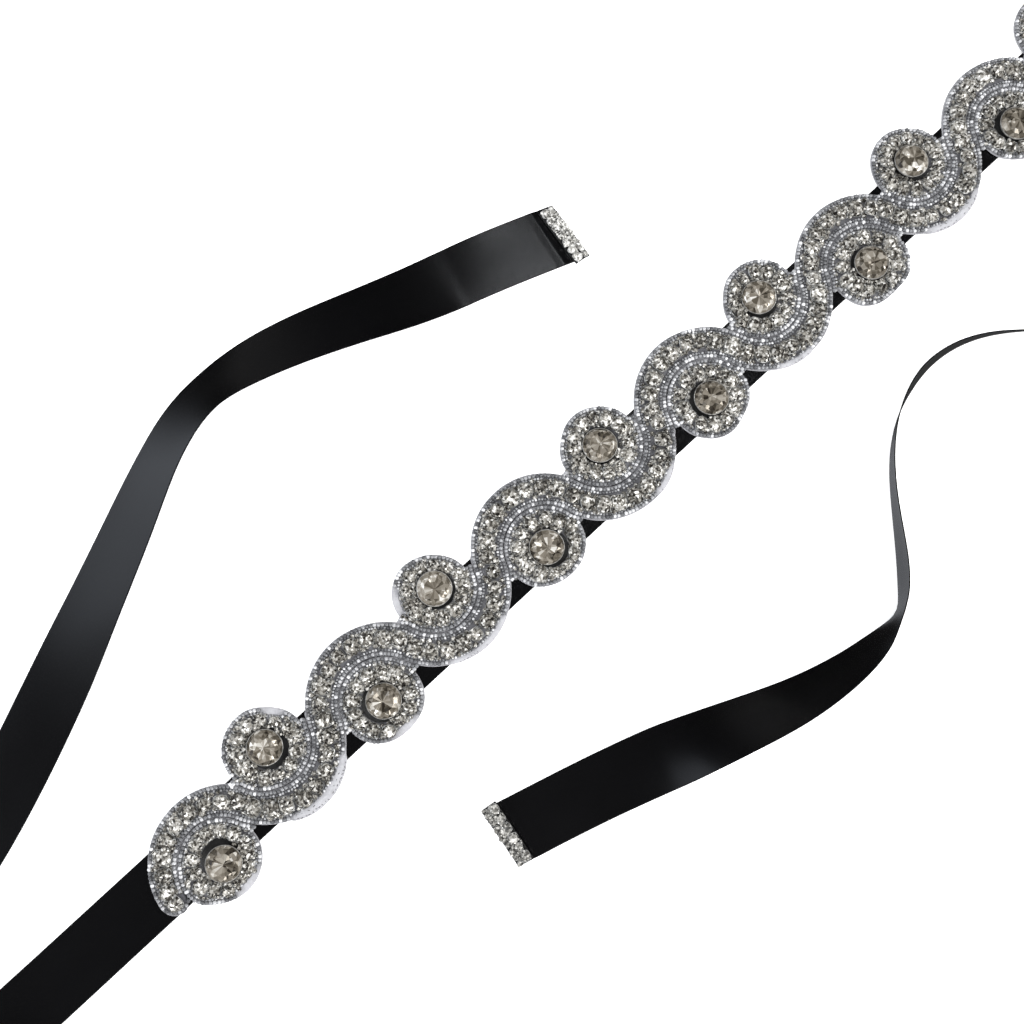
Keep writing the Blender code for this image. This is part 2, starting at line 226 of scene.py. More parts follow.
def join_forms(forms):
    """Several forms, or copies() results, as one."""
    starts = np.cumsum([0] + [len(form[0]) for form in forms])
    moved = [(form[0], form[1] + start, *form[2:]) for form, start in zip(forms, starts)]
    return [np.concatenate(part) for part in zip(*moved)]


STONE, METAL = 0, 1


def cut_stone(sides, girdle, table, low, high, dip):
    """Crown of a round stone with flat facets, its lowest ring at the girdle."""
    start, third, faces = sides * 2, sides * 3, []
    verts = corners(start, girdle, low) + corners(sides, (girdle + table) * 0.53, low + (high - low) * 0.62, 0.5)
    verts += corners(sides, table, high) + [(0.0, 0.0, high - dip)]
    centre = len(verts) - 1
    for i in range(sides):
        j, before = (i + 1) % sides, (i - 1) % sides
        a, b, c = 2 * i, 2 * i + 1, (2 * i + 2) % start
        faces += [(a, b, start + i), (b, c, start + i), (a, start + i, third + i), (a, third + i, start + before),
                  (third + i, start + i, third + j), (third + i, third + j, centre)]
    faces = np.array(faces)
    return np.array(verts), faces, np.full(len(faces), STONE), np.zeros(len(faces), dtype=bool)


def claw(angle, radius, foot, top, width):
    """A bent prong that stands at the stone's side and holds its crown."""
    c, s = math.cos(angle), math.sin(angle)
    rows = ((radius + 0.02, foot, width), (radius + 0.06, top * 0.72, width * 0.9),
            (radius - 0.02, top, width * 0.8), (radius - 0.22, top + 0.10, width * 0.45))
    verts, faces = [], []
    for r, h, w in rows:
        for side, out in ((-1, 0.0), (0, 0.09), (1, 0.0)):
            verts.append(((r + out) * c - side * w * s, (r + out) * s + side * w * c, h))
    for k in range(len(rows) - 1):
        for i in range(3):
            a, b = k * 3 + i, k * 3 + (i + 1) % 3
            faces += [(a, b, b + 3), (a, b + 3, a + 3)]
    last = (len(rows) - 1) * 3
    faces.append((last, last + 1, last + 2))
    faces = np.array(faces)
    return np.array(verts), faces, np.full(len(faces), METAL), np.ones(len(faces), dtype=bool)


def squared(form, power):
    """A turned form drawn out towards a square with round corners."""
    v, f, s, m = form
    a = np.arctan2(v[:, 1], v[:, 0])
    grow = (np.abs(np.cos(a)) ** power + np.abs(np.sin(a)) ** power) ** (-1.0 / power)
    v = v * np.stack([grow, grow, np.ones(len(v))], axis=1)
    return v, f, s, m


def chaton():
    """Small set stone, one unit to its sides: a squared metal cup, a faceted crown and four prongs."""
    profile = ((0.78, 0.0), (0.96, 0.40), (0.98, 0.52), (0.94, 0.58), (0.88, 0.50))
    cup = rings_form(profile, 16, METAL, (2, 3), cap_high=False)
    crown = cut_stone(8, 0.93, 0.44, 0.50, 1.04, 0.05)
    prongs = [claw(math.radians(45 + 90 * k), 0.96, 0.25, 0.68, 0.14) for k in range(4)]
    return join_forms([squared(cup, 3.2), crown] + prongs)


def chip():
    """Small uneven faceted stone, one unit to its sides, on a tapered foot."""
    foot = rings_form(((0.55, -1.9), (0.92, -0.2), (0.98, 0.0)), 6, STONE, (0, 1, 2), cap_high=False)
    return join_forms([foot, cut_stone(6, 0.98, 0.5, 0.0, 0.6, 0.1)])


def laid_down(profile, sides):
    """A turned form with its axis along X, from rows of radius and place along the axis."""
    v, f, s, m = rings_form(profile, sides)
    return v[:, (2, 1, 0)] * np.array([1.0, 1.0, -1.0]), f, s, m


CHATON = chaton()
CHIP = chip()
BEAD = laid_down(((0.16, -0.36), (0.34, -0.40), (0.47, -0.22), (0.50, 0.0), (0.47, 0.22), (0.34, 0.40),
                  (0.16, 0.36)), 8)
SMALL_BEAD = laid_down(((0.18, -0.38), (0.43, -0.32), (0.50, 0.0), (0.43, 0.32), (0.18, 0.38)), 8)
STITCH = laid_down(((0.10, -0.5), (0.16, -0.3), (0.16, 0.3), (0.10, 0.5)), 6)


def copies(form, places, turns, sizes, seed, facet_spread=0.5):
    """Points, faces, slots, smooth flags and tones of many placed copies of one form."""
    v, f, s, m = form
    rng = np.random.default_rng(seed)
    n = len(places)
    sizes = np.asarray(sizes, dtype=float)
    if sizes.ndim == 1:
        sizes = np.repeat(sizes[:, None], 3, axis=1)
    placed = np.einsum("mij,mnj->mni", np.asarray(turns), v[None] * sizes[:, None, :])
    placed += np.asarray(places)[:, None, :]
    faces = (f[None] + (np.arange(n) * len(v))[:, None, None]).reshape(-1, f.shape[1])
    whole = rng.random(n)[:, None]
    each = rng.random((n, len(f)))
    tones = (whole * (1.0 - facet_spread) + each * facet_spread).ravel()
    return placed.reshape(-1, 3), faces, np.tile(s, n), np.tile(m, n), tones


def link_copies(name, parts, materials, tone_and_painted_shade=1.0):
    """Several copies() results as one linked object."""
    v, f, s, m, t = join_forms(parts)
    return link(name, v, [f], materials, s, t * tone_and_painted_shade, m)


def turns_of(headings, leans, directions):
    """Rotation matrices: turned about Z by a heading, then leant over towards a direction."""
    out = []
    for h, lean, d in zip(headings, leans, directions):
        axis = Vector((-math.sin(d), math.cos(d), 0.0))
        out.append(np.array(Matrix.Rotation(lean, 3, axis) @ Matrix.Rotation(h, 3, "Z")))
    return np.array(out)


def leaning(rng, headings, lean):
    """Rotation matrices for the headings, each leant over a little to a side of its own."""
    n = len(headings)
    return turns_of(headings, np.abs(rng.normal(0.0, lean, n)), rng.uniform(0.0, FULL_TURN, n))


def chatons(xy, z, turns, sizes, seed):
    """Copies of the small set stone, its facets of very different tones; on the glass these tones pick painted
    glints and dark specks.
    """
    return copies(CHATON, np.column_stack([xy, z]), turns, sizes, seed, 0.75)


def polar(radius, angle):
    """Rows of x and y at a radius and an angle in radians."""
    return np.stack([radius * np.cos(angle), radius * np.sin(angle)], axis=1)


def read_at(at, run, line):
    """Places on a line at the given lengths along it."""
    return np.stack([np.interp(at, run, line[:, c]) for c in (0, 1)], axis=1)


# Paths

def spline(knots, values, at):
    """Natural cubic spline through values at knots, read at the given places."""
    knots = np.asarray(knots, dtype=float)
    values = np.asarray(values, dtype=float)
    count = len(knots)
    step = np.diff(knots)
    slope = np.diff(values) / step
    system = np.eye(count)
    right = np.zeros(count)
    for i in range(1, count - 1):
        system[i, i - 1] = step[i - 1]
        system[i, i] = 2.0 * (step[i - 1] + step[i])
        system[i, i + 1] = step[i]
        right[i] = 6.0 * (slope[i] - slope[i - 1])
    bend = np.linalg.solve(system, right)
    i = np.clip(np.searchsorted(knots, at, side="right") - 1, 0, count - 2)
    u = at - knots[i]
    h = step[i]
    first = slope[i] - h * (2.0 * bend[i] + bend[i + 1]) / 6.0
    return values[i] + u * first + u * u * bend[i] / 2.0 + u ** 3 * (bend[i + 1] - bend[i]) / (6.0 * h)


def path_of(rows):
    xy = np.array([[row[0], row[1]] for row in rows])
    chord = np.concatenate([[0.0], np.cumsum(np.hypot(*np.diff(xy, axis=0).T))])
    fine = np.linspace(0.0, chord[-1], 1200)
    x = spline(chord, xy[:, 0], fine)
    y = spline(chord, xy[:, 1], fine)
    tilts = [row[2] for row in rows]
    tilt = 0.35 * np.interp(fine, chord, tilts) + 0.65 * spline(chord, tilts, fine)
    return np.stack([x, y, tilt], axis=1)


def run_of(points):
    return np.concatenate([[0.0], np.cumsum(np.hypot(*np.diff(points[:, :2], axis=0).T))])


def smoothstep(t):
    return t * t * (3.0 - 2.0 * t)


def vine_path():
    """Dense points of the wave band's middle, and for each the medallion it goes round and how far."""
    out, about = [], []
    last = len(MEDALLIONS) - 1
    for k, row in enumerate(MEDALLIONS):
        side, cx, cy = row[1:4]
        turn = -1.0 if side == "lower" else 1.0
        beside = [MEDALLIONS[j] if 0 <= j <= last else None for j in (k - 1, k + 1)]
        radii = [math.hypot(near[2] - cx, near[3] - cy) / 2.0 if near else None for near in beside]
        r_in, r_out = radii[0] or radii[1], radii[1] or radii[0]
        a_in, a_out = (math.degrees(math.atan2(near[3] - cy, near[2] - cx)) if near else end
                       for near, end in zip(beside, (VINE_START_ANGLE, VINE_END_ANGLE + 180.0)))
        sweep = ((a_out - a_in) * turn) % 360.0
        for t in np.linspace(0.0, 1.0, 60)[(1 if out else 0):]:
            angle = math.radians(a_in + turn * sweep * t)
            r = r_in + (r_out - r_in) * smoothstep(t)
            out.append((cx + r * math.cos(angle), cy + r * math.sin(angle)))
            about.append(k + t)
    return np.array(out), np.array(about)


def along(points, run, at):
    """Place and unit left-hand normal of a path at the given lengths."""
    ahead, behind = (np.clip(at + reach, 0.0, run[-1]) for reach in (0.8, -0.8))
    d = read_at(ahead, run, points) - read_at(behind, run, points)
    d /= np.linalg.norm(d, axis=1)[:, None]
    return read_at(at, run, points), np.stack([-d[:, 1], d[:, 0]], axis=1)


def wander(at, scale, seed):
    """Smooth uneven values about 0, from -1 to 1, along a length."""
    rng = np.random.default_rng(seed)
    low, high = float(np.min(at)) - scale, float(np.max(at)) + scale
    knots = np.arange(low, high + 2.0 * scale, scale)
    return spline(knots, rng.uniform(-1.0, 1.0, len(knots)), np.asarray(at, dtype=float)).clip(-1.2, 1.2)


BESIDE = {}


def outline(name, degrees):
    """Radius of a medallion's cloth in the given directions, smooth all the way round."""
    rows = sorted(OUTLINES[name])
    at = np.array([row[0] for row in rows], dtype=float)
    radius = np.array([row[1] for row in rows], dtype=float)
    at = np.concatenate([at - 360.0, at, at + 360.0])
    radius = np.tile(radius, 3)
    soft = [np.interp((np.asarray(degrees) + d) % 360.0, at, radius) for d in (-16.0, -8.0, 0.0, 8.0, 16.0)]
    free = np.mean(soft, axis=0)
    if name not in BESIDE:
        cx, cy = next((row[2], row[3]) for row in MEDALLIONS if row[0] == name)
        away = np.hypot(vine[:, 0] - cx, vine[:, 1] - cy)
        seen = np.degrees(np.arctan2(vine[:, 1] - cy, vine[:, 0] - cx)) % 360.0
        fine = np.arange(0.0, 361.0, 3.0)
        reach = [np.min(away[np.abs((seen - d + 180.0) % 360.0 - 180.0) < 4.0], initial=99.0) for d in fine]
        BESIDE[name] = (fine, np.array(reach))
    fine, reach = BESIDE[name]
    room = np.interp(np.asarray(degrees) % 360.0, fine, reach) - 6.5
    return np.where((room > free) & (room < free + 3.0), room, free)


# Materials

def new_material(name, colour, rough, metal=0.0, **more):
    """A Principled material and its node tree, its shader and a place to read object coordinates."""
    mat = bpy.data.materials.new(name)
    mat.use_nodes = True
    mat.diffuse_color = (*colour, 1.0)
    tree = mat.node_tree
    shader = tree.nodes["Principled BSDF"]
    shader.inputs["Base Color"].default_value = (*colour, 1.0)
    shader.inputs["Roughness"].default_value = rough
    shader.inputs["Metallic"].default_value = metal
    for key, value in more.items():
        shader.inputs[key.replace("_", " ")].default_value = value
    where = tree.nodes.new("ShaderNodeTexCoord")
    return mat, tree, shader, where


def add(tree, kind, inputs=None, **settings):
    node = tree.nodes.new("ShaderNode" + kind)
    for key, value in settings.items():
        setattr(node, key, value)
    for key, value in (inputs or {}).items():
        if isinstance(value, bpy.types.NodeSocket):
            tree.links.new(value, node.inputs[key])
        else:
            node.inputs[key].default_value = value
    return node


def ramp(tree, factor, stops):
    """A linear ramp's colour, from places and colours or greys."""
    node = add(tree, "ValToRGB", {"Fac": factor})
    points = node.color_ramp.elements
    while len(points) < len(stops):
        points.new(0.5)
    for point, (place, colour) in zip(points, stops):
        point.position = place
        point.color = (*colour, 1.0) if isinstance(colour, tuple) else (colour, colour, colour, 1.0)
    return node.outputs["Color"]


def calc(tree, operation, *values):
    """A Math node's value."""
    return add(tree, "Math", dict(enumerate(values)), operation=operation).outputs[0]


def mix(tree, kind, one, two, share=1.0):
    """Two colours blended."""
    return add(tree, "MixRGB", {"Fac": share, "Color1": one, "Color2": two}, blend_type=kind).outputs["Color"]


def noise(tree, where, scale, detail, **more):
    return add(tree, "TexNoise", {"Vector": where, "Scale": scale, "Detail": detail, **more}).outputs["Fac"]


def colour_by(tree, shader, factor, stops):
    tree.links.new(ramp(tree, factor, stops), shader.inputs["Base Color"])


def bump(tree, shader, height, strength, distance):
    node = add(tree, "Bump", {"Height": height, "Strength": strength, "Distance": distance})
    tree.links.new(node.outputs["Normal"], shader.inputs["Normal"])


def satin(name, dark, light, rough, aniso, gloss):
    """Woven satin: fine threads along and across the ribbon, with a soft uneven lustre."""
    mat, tree, shader, where = new_material(name, dark, rough, Anisotropic=aniso, Specular_IOR_Level=gloss)
    spread = add(tree, "Mapping", {"Vector": where.outputs["UV"], "Scale": (2.0, 90.0, 1.0)})
    threads = noise(tree, spread.outputs["Vector"], 14.0, 3.0)
    cross = add(tree, "Mapping", {"Vector": where.outputs["UV"], "Scale": (60.0, 3.0, 1.0)})
    weft = noise(tree, cross.outputs["Vector"], 16.0, 2.0)
    patch = noise(tree, where.outputs["Object"], 26.0, 2.0)
    colour_by(tree, shader, patch, ((0.35, dark), (0.70, light)))
    rough_map = add(tree, "MapRange", {"Value": threads, "From Min": 0.3, "From Max": 0.7,
                                       "To Min": rough - 0.02, "To Max": rough + 0.03})
    tree.links.new(rough_map.outputs["Result"], shader.inputs["Roughness"])
    bump(tree, shader, calc(tree, "ADD", threads, weft), 0.06, 0.0001)
    tangent = add(tree, "Tangent", direction_type="UV_MAP", uv_map="UVMap")
    tree.links.new(tangent.outputs["Tangent"], shader.inputs["Tangent"])
    return mat


def glitter(name, cell, kick, stops, rough, metal, tint):
    """Foil-backed cut glass: every little cell of the inside faces its own way, and its base colour is painted
    glints and dark specks, reflections seen inside the glass.
    """
    mat, tree, shader, where = new_material(name, tint, rough, metal, Specular_IOR_Level=0.6)
    cells = add(tree, "TexVoronoi", {"Vector": where.outputs["Object"], "Scale": cell, "Randomness": 1.0})
    tone = add(tree, "Attribute", attribute_name="tone")
    parts = add(tree, "SeparateColor", {"Color": cells.outputs["Color"]})
    # painted reflections: cell and facet tone pick a dark speck, a grey or a white glint
    mixed = calc(tree, "ADD", parts.outputs[0], tone.outputs["Fac"])
    colour_by(tree, shader, calc(tree, "MULTIPLY", mixed, 0.5), stops)
    away = add(tree, "VectorMath", {0: cells.outputs["Color"], 1: (0.5, 0.5, 0.5)}, operation="SUBTRACT")
    scaled = add(tree, "VectorMath", {0: away.outputs["Vector"], "Scale": kick}, operation="SCALE")
    face = add(tree, "NewGeometry")
    total = add(tree, "VectorMath", {0: face.outputs["Normal"], 1: scaled.outputs["Vector"]}, operation="ADD")
    unit = add(tree, "VectorMath", {0: total.outputs["Vector"]}, operation="NORMALIZE")
    tree.links.new(unit.outputs["Vector"], shader.inputs["Normal"])
    return mat


def toned(name, stops, rough, metal, **more):
    """A finish that differs a little from copy to copy, with fine unevenness on each."""
    mat, tree, shader, where = new_material(name, stops[len(stops) // 2][1], rough, metal, **more)
    tone = add(tree, "Attribute", attribute_name="tone")
    colour_by(tree, shader, tone.outputs["Fac"], stops)
    bump(tree, shader, noise(tree, where.outputs["Object"], 700.0, 2.0), 0.4, 0.00003)
    return mat


def cloth(name, dark, light):
    """Backing cloth: a fine weave under short fibres; its tone paints shade, dark in the sewn channels and under
    the stones, with the cloth's own light colour at bare edges.
    """
    mat, tree, shader, where = new_material(name, light, 0.82, Sheen_Weight=0.2, Sheen_Roughness=0.5)
    here = where.outputs["Object"]
    tone = add(tree, "Attribute", attribute_name="tone")
    fibre = noise(tree, here, 520.0, 5.0, Distortion=1.5)
    patch = noise(tree, here, 130.0, 3.0)
    centred = calc(tree, "SUBTRACT", calc(tree, "ADD", fibre, patch), 1.0)
    spread = calc(tree, "MULTIPLY_ADD", centred, 0.55, tone.outputs["Fac"])
    mid = tuple(0.62 * a + 0.38 * b for a, b in zip(dark, light))
    colour_by(tree, shader, spread, ((0.0, dark), (0.5, mid), (1.0, light)))
    lines = add(tree, "TexWave", {"Vector": here, "Scale": 1400.0, "Distortion": 2.0})
    bump(tree, shader, calc(tree, "ADD", fibre, lines.outputs["Fac"]), 0.5, 0.00012)
    return mat


FRONT = satin("satin_face", (0.0012, 0.0012, 0.0014), (0.0018, 0.0018, 0.0021), 0.24, 0.25, 0.45)
BACK = satin("satin_back", (0.016, 0.016, 0.016), (0.020, 0.020, 0.020), 0.50, 0.2, 0.3)
EDGE = satin("satin_edge", (0.001, 0.001, 0.001), (0.002, 0.002, 0.002), 0.8, 0.0, 0.05)
# Painted glints and dark specks in the cut glass, from near black to white by tone
SMALL_PAINTED_GLINTS = ((0.18, (0.014, 0.013, 0.011)), (0.37, (0.070, 0.065, 0.056)), (0.52, (0.25, 0.237, 0.21)),
               (0.68, (0.46, 0.446, 0.415)), (0.80, (0.96, 0.95, 0.92)))
CENTRE_PAINTED_GLINTS = ((0.12, (0.022, 0.018, 0.013)), (0.34, (0.105, 0.091, 0.070)), (0.54, (0.225, 0.199, 0.163)),
                (0.76, (0.39, 0.36, 0.31)), (0.92, (0.90, 0.88, 0.83)))
SMALL_STONE = glitter("cut_glass_small", 1000.0, 0.9, SMALL_PAINTED_GLINTS, 0.12, 0.35, (0.38, 0.36, 0.32))
CENTRE_STONE = glitter("cut_glass_centre", 420.0, 0.35, CENTRE_PAINTED_GLINTS, 0.07, 0.45, (0.38, 0.35, 0.30))
CUP = toned("silver_setting", ((0.0, (0.06, 0.06, 0.058)), (0.5, (0.26, 0.26, 0.25)), (1.0, (0.75, 0.75, 0.73))),
            0.25, 0.6)
# the trims' glass has painted glints and dark specks too
TRIM_STONE = glitter("trim_glass", 1100.0, 0.9, ((0.10, (0.02, 0.02, 0.02)), (0.36, (0.20, 0.195, 0.18)),
                                                  (0.55, (0.55, 0.54, 0.51)), (0.75, (0.88, 0.88, 0.86))),
                     0.12, 0.3, (0.6, 0.6, 0.58))
BRIGHT_CUP = toned("polished_silver", ((0.0, (0.12, 0.12, 0.118)), (0.5, (0.52, 0.52, 0.51)),
                                       (1.0, (0.86, 0.86, 0.85))), 0.3, 0.4)
DARK_CUP = toned("tarnished_setting", ((0.0, (0.16, 0.155, 0.145)), (1.0, (0.42, 0.41, 0.39))), 0.3, 0.6)
BEADS = toned("silver_lined_bead", ((0.0, (0.07, 0.071, 0.076)), (0.4, (0.19, 0.193, 0.202)),
                                    (0.72, (0.37, 0.374, 0.388)), (1.0, (0.88, 0.885, 0.90))), 0.14, 0.3,
              Coat_Weight=0.8, Coat_Roughness=0.05)
CLOTH = cloth("backing_cloth", (0.06, 0.06, 0.067), (0.37, 0.37, 0.39))
FELT = cloth("black_backing", (0.003, 0.003, 0.003), (0.010, 0.010, 0.010))
THREAD = toned("sewing_thread", ((0.0, (0.02, 0.02, 0.02)), (0.6, (0.05, 0.05, 0.05)), (1.0, (0.5, 0.5, 0.5))),
               0.6, 0.0)


# Ribbon

left = path_of(LEFT_ROWS)
right = path_of(RIGHT_ROWS)
middle = np.stack([np.linspace(-43.0, 517.0, 561), np.full(561, -2.4), np.zeros(561)], axis=1)
whole = np.concatenate([left[:-1], middle, right[1:]])


def ribbon_frames(points, step):
    run = run_of(points)
    fine = np.arange(0.0, 16.0, 0.5)
    at = np.linspace(16.0, run[-1] - 16.0, int(round((run[-1] - 32.0) / step)) + 1)
    at = np.concatenate([fine, at, np.sort(run[-1] - fine)])
    place, normal = along(points, run, at)
    return at, place, normal, np.radians(np.interp(at, run, points[:, 2])), run[-1]


# Height of the ribbon's face near a cut end: under the trim, the hem's groove, its fold, and away
HEM = ((0.0, 6.2, 6.5, 9.6, 10.3, 13.0, 20.0), (0.0, 0.0, -0.40, 0.32, 0.30, 0.10, 0.0))


def make_ribbon():
    at, place, leftward, lean, length = ribbon_frames(whole, RIBBON_STEP)
    n, m = len(at), RIBBON_ACROSS
    s = np.sin(np.linspace(-0.5, 0.5, m) * math.pi)
    half = RIBBON_WIDTH / 2.0
    flat = np.cos(lean) ** 2
    wave_a, wave_b, wave_c = (wander(at, scale, seed) for scale, seed in ((34.0, 11), (19.0, 12), (55.0, 13)))
    from_end = np.minimum(at, length - at)
    calm = np.clip(from_end / RIPPLE_CALM, 0.0, 1.0)
    top, low = np.zeros((n, m, 3)), np.zeros((n, m, 3))
    for i in range(n):
        side = np.array([leftward[i, 0], leftward[i, 1], 0.0])
        across = side * math.cos(lean[i]) + np.array([0.0, 0.0, math.sin(lean[i])])
        normal = np.array([0.0, 0.0, math.cos(lean[i])]) - side * math.sin(lean[i])
        height = half * abs(math.sin(lean[i])) + 0.5 * abs(math.cos(lean[i]))
        centre = np.array([place[i, 0], place[i, 1], height])
        slant = 0.0
        if at[i] < CUT_FADE:
            slant = math.tan(math.radians(LEFT_CUT)) * (1.0 - at[i] / CUT_FADE)
        elif length - at[i] < CUT_FADE:
            slant = math.tan(math.radians(RIGHT_CUT)) * (1.0 - (length - at[i]) / CUT_FADE)
        forward = np.array([leftward[i, 1], -leftward[i, 0], 0.0]) * slant
        ripple = 0.16 * wave_a[i] * s + 0.12 * wave_b[i] * (1.0 - s * s) + 0.10 * wave_c[i] * np.sin(2.2 * s)
        ripple *= calm[i] * (0.55 * flat[i] + 1.0 * (1.0 - flat[i]) + 0.25)
        thick = SHELL / 2.0
        hem = float(np.interp(from_end[i], HEM[0], HEM[1]))
        body = centre[None] + (across + forward)[None] * (half * s)[:, None]
        top[i] = body + normal[None] * (ripple + thick + hem)[:, None]
        low[i] = body + normal[None] * (ripple - thick)[:, None]
    top[:, :, 2] = np.maximum(top[:, :, 2], 0.10)
    low[:, :, 2] = np.maximum(low[:, :, 2], 0.04)
    verts = np.concatenate([top.reshape(-1, 3), low.reshape(-1, 3)])
    grid = np.arange(n * m).reshape(n, m)
    a, b, c, d = grid[:-1, :-1], grid[:-1, 1:], grid[1:, 1:], grid[1:, :-1]
    face_top = np.stack([a, d, c, b], axis=-1).reshape(-1, 4)
    face_low = np.stack([a, b, c, d], axis=-1).reshape(-1, 4) + n * m
    rim = []
    for line, flip in ((grid[:, 0], True), (grid[:, -1], False), (grid[0], False), (grid[-1], True)):
        u, w = line[:-1], line[1:]
        quad = (u, u + n * m, w + n * m, w) if flip else (u, w, w + n * m, u + n * m)
        rim.append(np.stack(quad, axis=-1))
    rim = np.concatenate(rim)
    faces = [np.concatenate([face_top, face_low, rim])]
    slots = np.concatenate([np.zeros(len(face_top)), np.ones(len(face_low)), np.full(len(rim), 2)])
    uv_one = np.stack(np.broadcast_arrays(at[:, None] * MM * 10.0, (s * half * MM * 10.0)[None]), axis=-1)
    uv = np.concatenate([uv_one.reshape(-1, 2)] * 2)
    piece = link("ribbon", verts, faces, [FRONT, BACK, EDGE], slots, uv=uv)
    return piece, length


ribbon, ribbon_length = make_ribbon()
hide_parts("ribbon_front", "ribbon_left_tail", "ribbon_left_loop", "ribbon_right_loop",
            "ribbon_right_tail")


# Wave band

vine, vine_about = vine_path()
vine_run = run_of(vine)
vine_total = vine_run[-1]


def outer_shift(at):
    """How far the row of stones lies towards the outer side, on the left-hand normal."""
    where = np.interp(at, vine_run, vine_about)
    k = np.floor(where).astype(int).clip(0, len(MEDALLIONS) - 1)
    t = where - k
    side = np.where(np.array([row[1] == "lower" for row in MEDALLIONS])[k], 1.0, -1.0)
    return side * 0.75 * np.sin(np.pi * t.clip(0.0, 1.0)) ** 0.7


def margins(at):
    """Extra width of the cloth and how bare it is, at the left and right of the wave band."""
    where = np.interp(at, vine_run, vine_about)
    out = []
    for side, seed in ((1.0, 31), (-1.0, 32)):
        width = 0.12 + 0.16 * wander(at, 9.0, seed)
        bare = np.zeros(len(at))
        for k, start, end, wide in VINE_MARGINS:
            outer = 1.0 if MEDALLIONS[k][1] == "lower" else -1.0
            if outer != side:
                continue
            t = (where - k - start) / (end - start)
            shape = np.sin(np.pi * t.clip(0.0, 1.0)) ** 0.5
            width = width + wide * shape
            bare = np.maximum(bare, np.clip(shape * 1.6, 0.0, 1.0))
        out.append((width, bare))
    place, normal = along(vine, vine_run, at)
    for row in MEDALLIONS:
        to = np.array([row[2], row[3]]) - place
        away = np.linalg.norm(to, axis=1)
        seen = np.degrees(np.arctan2(-to[:, 1], -to[:, 0]))
        room = away - outline(row[0], seen) - 0.05
        for index, side in ((0, 1.0), (1, -1.0)):
            facing = np.sum(to * normal, axis=1) * side / away
            near = (away < 27.0) & (facing > 0.9)
            width, bare = out[index]
            width = np.where(near & (room < VINE_EDGE + width), room - VINE_EDGE, width)
            width = np.where(near & (room < 7.3), np.maximum(width, room - VINE_EDGE), width)
            out[index] = (width, bare)
    return out


def make_vine_cloth():
    at = np.linspace(0.0, vine_total, int(vine_total / 1.2))
    place, normal = along(vine, vine_run, at)
    shift = outer_shift(at)
    (wide_left, bare_left), (wide_right, bare_right) = margins(at)
    fuzz = wander(at, 4.0, 41)
    from_end = np.minimum(at, vine_total - at)
    round_end = np.sqrt(np.clip(1.0 - (1.0 - np.clip(from_end / 6.4, 0.0, 1.0)) ** 2, 0.02, 1.0))
    rows, shades = [], []
    for i in range(len(at)):
        halves = []
        for side, extra, bare in ((-1.0, wide_right[i], bare_right[i]), (1.0, wide_left[i], bare_left[i])):
            part = []
            edge = VINE_EDGE + extra
            for a, h, shade in VINE_CLOTH:
                if a > 4.5:
                    # bare edges lose the painted shade and keep the cloth's own light colour
                    shade = shade + (0.95 - shade) * bare
                    a = a + min(0.0, extra)
                part.append((side * a + shift[i] * max(0.0, 1.0 - a / 4.5), h, shade))
            shade = 0.72 + 0.25 * bare
            part.append((side * (edge - 0.12), 0.44, shade))
            part.append((side * edge, 0.2, shade))
            # painted shade on the turned-under edge
            part.append((side * (edge - 0.25), -0.03, 0.3))
            halves.append(part)
        loop = list(reversed(halves[1])) + halves[0][1:]
        squeeze = round_end[i]
        row = []
        for a, h, shade in loop:
            drop = max(0.0, abs(a) - DROOP_FROM) * DROOP
            lift = 0.06 * fuzz[i] if h > 0.3 else 0.0
            row.append((place[i, 0] + normal[i, 0] * a * squeeze, place[i, 1] + normal[i, 1] * a * squeeze,
                        CLOTH_BASE + h - drop + lift))
        rows.append(row)
        shades.append([shade for _, _, shade in loop])
    verts, shades = np.array(rows), np.array(shades)
    n, m = verts.shape[:2]
    grid = np.arange(n * m).reshape(n, m)
    nxt = np.roll(grid, -1, axis=1)
    quads = np.stack([grid[:-1], nxt[:-1], nxt[1:], grid[1:]], axis=-1).reshape(-1, 4)
    tones = ((shades + np.roll(shades, -1, axis=1)) / 2.0)[:-1].ravel()
    first = np.array([[grid[0, 0], grid[0, m - i - 1], grid[0, m - i - 2]] for i in range(m - 2)])
    last = np.array([[grid[-1, 0], grid[-1, i + 1], grid[-1, i + 2]] for i in range(m - 2)])
    tones = np.concatenate([tones, np.full(2 * (m - 2), 0.6)])
    return link("vine_cloth", verts.reshape(-1, 3), [quads, first, last], [CLOTH], tones=tones)


def scatter(places, taken, clear, height, low, high, seed):
    """Small stones at the given places, left out near the bigger ones."""
    rng = np.random.default_rng(seed)
    near = np.min(np.linalg.norm(places[:, None] - np.asarray(taken)[None], axis=2), axis=1)
    places = places[near > clear]
    n = len(places)
    z = height + rng.normal(0.0, 0.28, n)
    turns = leaning(rng, rng.uniform(0.0, FULL_TURN, n), 0.30)
    sizes = rng.uniform(low, high, (n, 1)) * np.column_stack([rng.uniform(0.75, 1.25, n), np.ones((n, 2))])
    return copies(CHIP, np.column_stack([places, z]), turns, sizes, seed + 1, 0.6)


def offset_places(points, run, distance, start, end, pitch):
    """Equally spaced places on the line beside a path, with their headings and lengths along the path."""
    at = np.linspace(start, end, VINE_SAMPLES)
    place, normal = along(points, run, at)
    line = place + normal * np.broadcast_to(distance, len(at))[:, None]
    length = run_of(line)
    count = max(2, int(round(length[-1] / pitch)))
    spots = (np.arange(count) + 0.5) * length[-1] / count
    d = read_at(spots + 0.3, length, line) - read_at(spots - 0.3, length, line)
    return read_at(spots, length, line), np.arctan2(d[:, 1], d[:, 0]), np.interp(spots, length, at)


